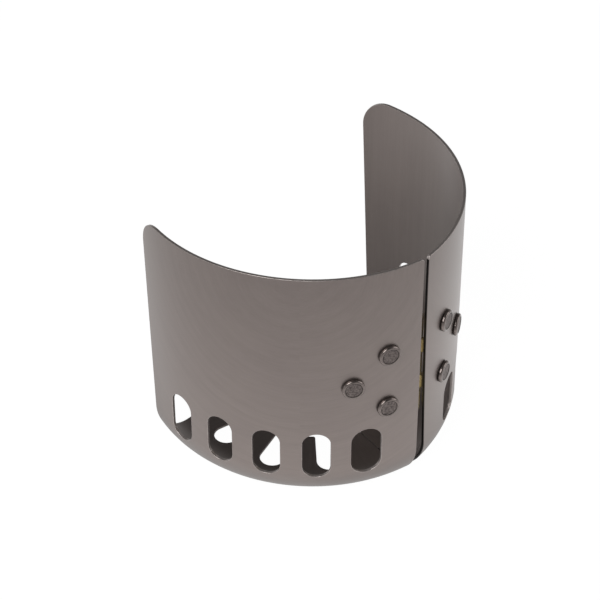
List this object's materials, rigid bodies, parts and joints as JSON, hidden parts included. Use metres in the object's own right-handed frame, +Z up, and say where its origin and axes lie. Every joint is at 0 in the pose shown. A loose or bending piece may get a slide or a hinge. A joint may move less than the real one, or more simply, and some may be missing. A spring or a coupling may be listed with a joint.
{
  "type": "stove windscreen",
  "caption": "Folding stove windscreen: curved sheet panels with air slots and a rounded foot cut into clip fingers, joined by an upright riveted hinge.",
  "frame": {"origin": "middle of the bounding box, at the underside of the flanges", "axes": "+Z up along the hinge pin, +Y from the hinge towards the open side, +X towards the right panel"},
  "size_m": [0.1022, 0.076, 0.093],
  "materials": {
    "sheet": "dark anodised satin with fine brush lines",
    "rivet": "dark anodised, grainy flat top with a polished shoulder",
    "hinge": "satin, warm olive tint"
  },
  "bodies": {
    "left_half": {"left_panel": "sheet", "left_hinge_leaf": "hinge", "hinge_pin": "hinge", "left_upper_rivet": "rivet", "left_lower_rivet": "rivet", "left_outer_rivet": "rivet"},
    "right_half": {"right_panel": "sheet", "right_hinge_leaf": "hinge", "right_upper_rivet": "rivet", "right_lower_rivet": "rivet", "right_outer_rivet": "rivet"}
  },
  "joints": [
    {"name": "panel_fold", "type": "hinge", "parent": "left_half", "child": "right_half", "pos_m": [0, -0.03439, 0.05], "axis": [0, 0, 1], "range_deg": [-23.5, 0]}
  ]
}
